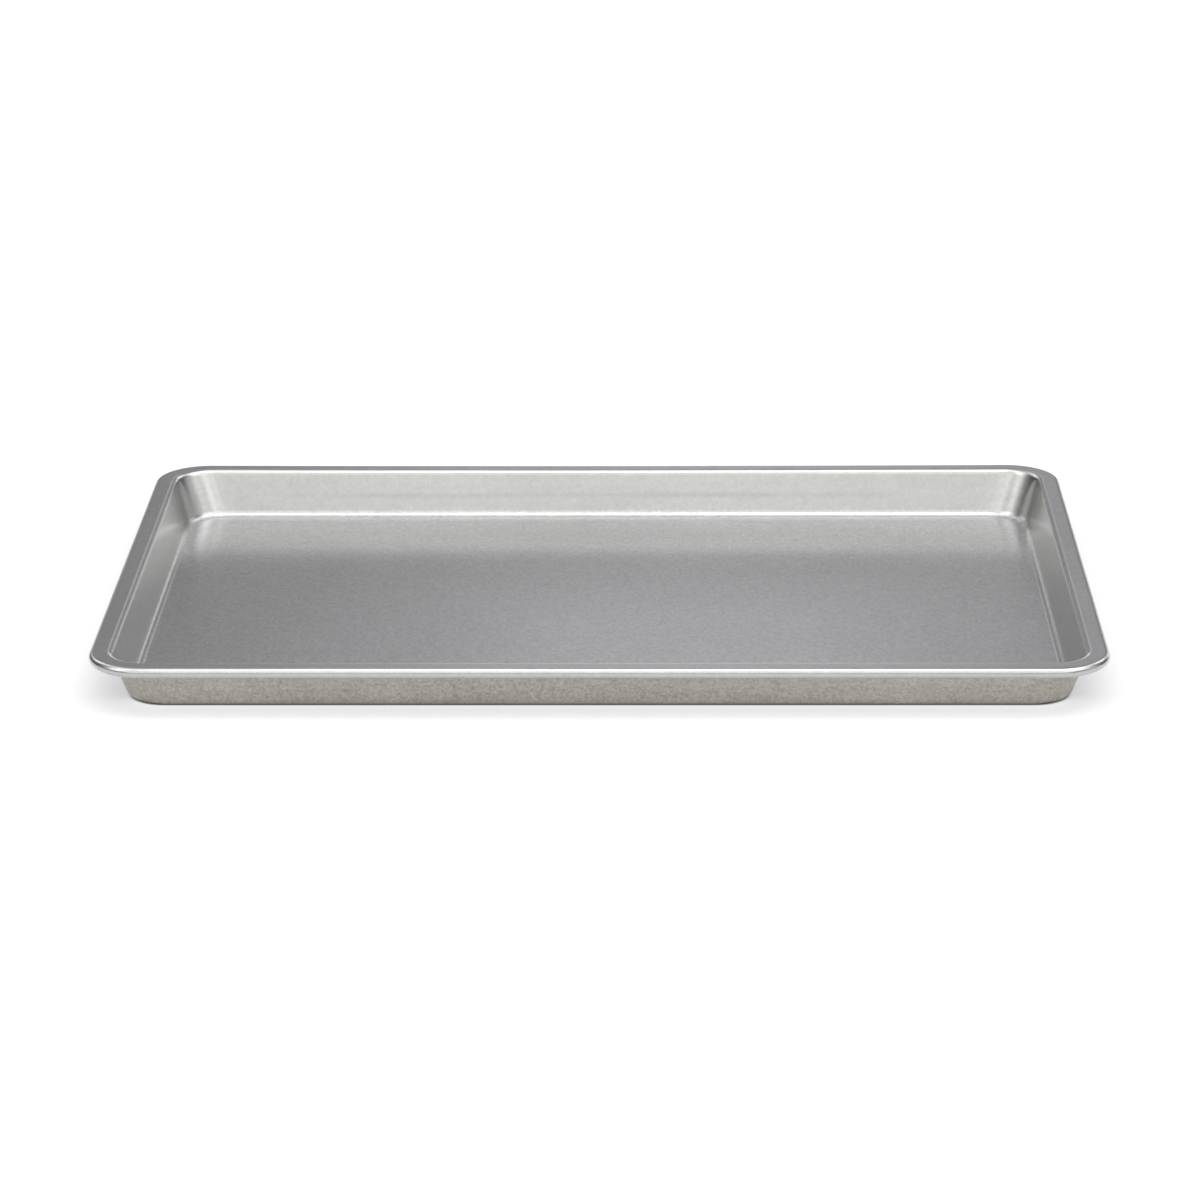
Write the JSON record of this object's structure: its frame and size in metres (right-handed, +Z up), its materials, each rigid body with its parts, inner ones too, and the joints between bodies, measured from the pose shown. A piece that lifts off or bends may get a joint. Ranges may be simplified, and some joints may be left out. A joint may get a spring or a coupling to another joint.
{
  "type": "jelly roll pan",
  "caption": "Shallow rectangular coated-steel baking pan with sloped walls, rounded corners, a flat flange and a rolled, wire-stiffened edge.",
  "frame": {"origin": "middle of the underside, on the surface that the pan stands on", "axes": "+X along the pan's length, +Y across it towards the rear side, +Z up out of the open tray"},
  "size_m": [0.404, 0.278, 0.0203],
  "materials": {
    "nonstick_sheet": "satin grey metallic non-stick coating, fine flake, on pressed steel sheet",
    "bright_wire": "drawn steel wire, bare, with cut ends"
  },
  "bodies": {
    "root": {"pan_shell": "nonstick_sheet", "rim_wire": "bright_wire"}
  },
  "joints": []
}
